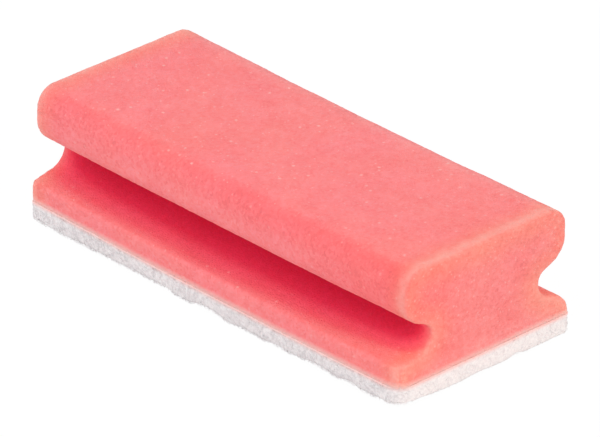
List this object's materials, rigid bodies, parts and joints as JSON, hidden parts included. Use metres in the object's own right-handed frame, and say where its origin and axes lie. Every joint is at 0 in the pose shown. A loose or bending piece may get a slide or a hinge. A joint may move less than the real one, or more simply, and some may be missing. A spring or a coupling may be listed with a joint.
{
  "type": "grip-profile scouring sponge",
  "caption": "Foam sponge with a finger groove along each long side, glued to a flat fibre scouring pad",
  "frame": {"origin": "middle of the pad's scouring face, on the surface that the sponge lies on", "axes": "+X along the sponge and its finger grooves, +Y across it, +Z from the scouring face up through the foam"},
  "size_m": [0.15, 0.065, 0.0405],
  "materials": {
    "grip_foam": "fine-celled flexible polyurethane foam, dyed salmon pink through, profile-cut, dull with fine open cells",
    "hot_melt_film": "thin milky hot-melt adhesive film",
    "scouring_fibre": "white lofty non-woven scouring web of crimped, resin-bonded synthetic fibres"
  },
  "bodies": {
    "root": {"foam_grip_body": "grip_foam", "bond_layer": "hot_melt_film", "scouring_pad": "scouring_fibre"}
  },
  "joints": []
}
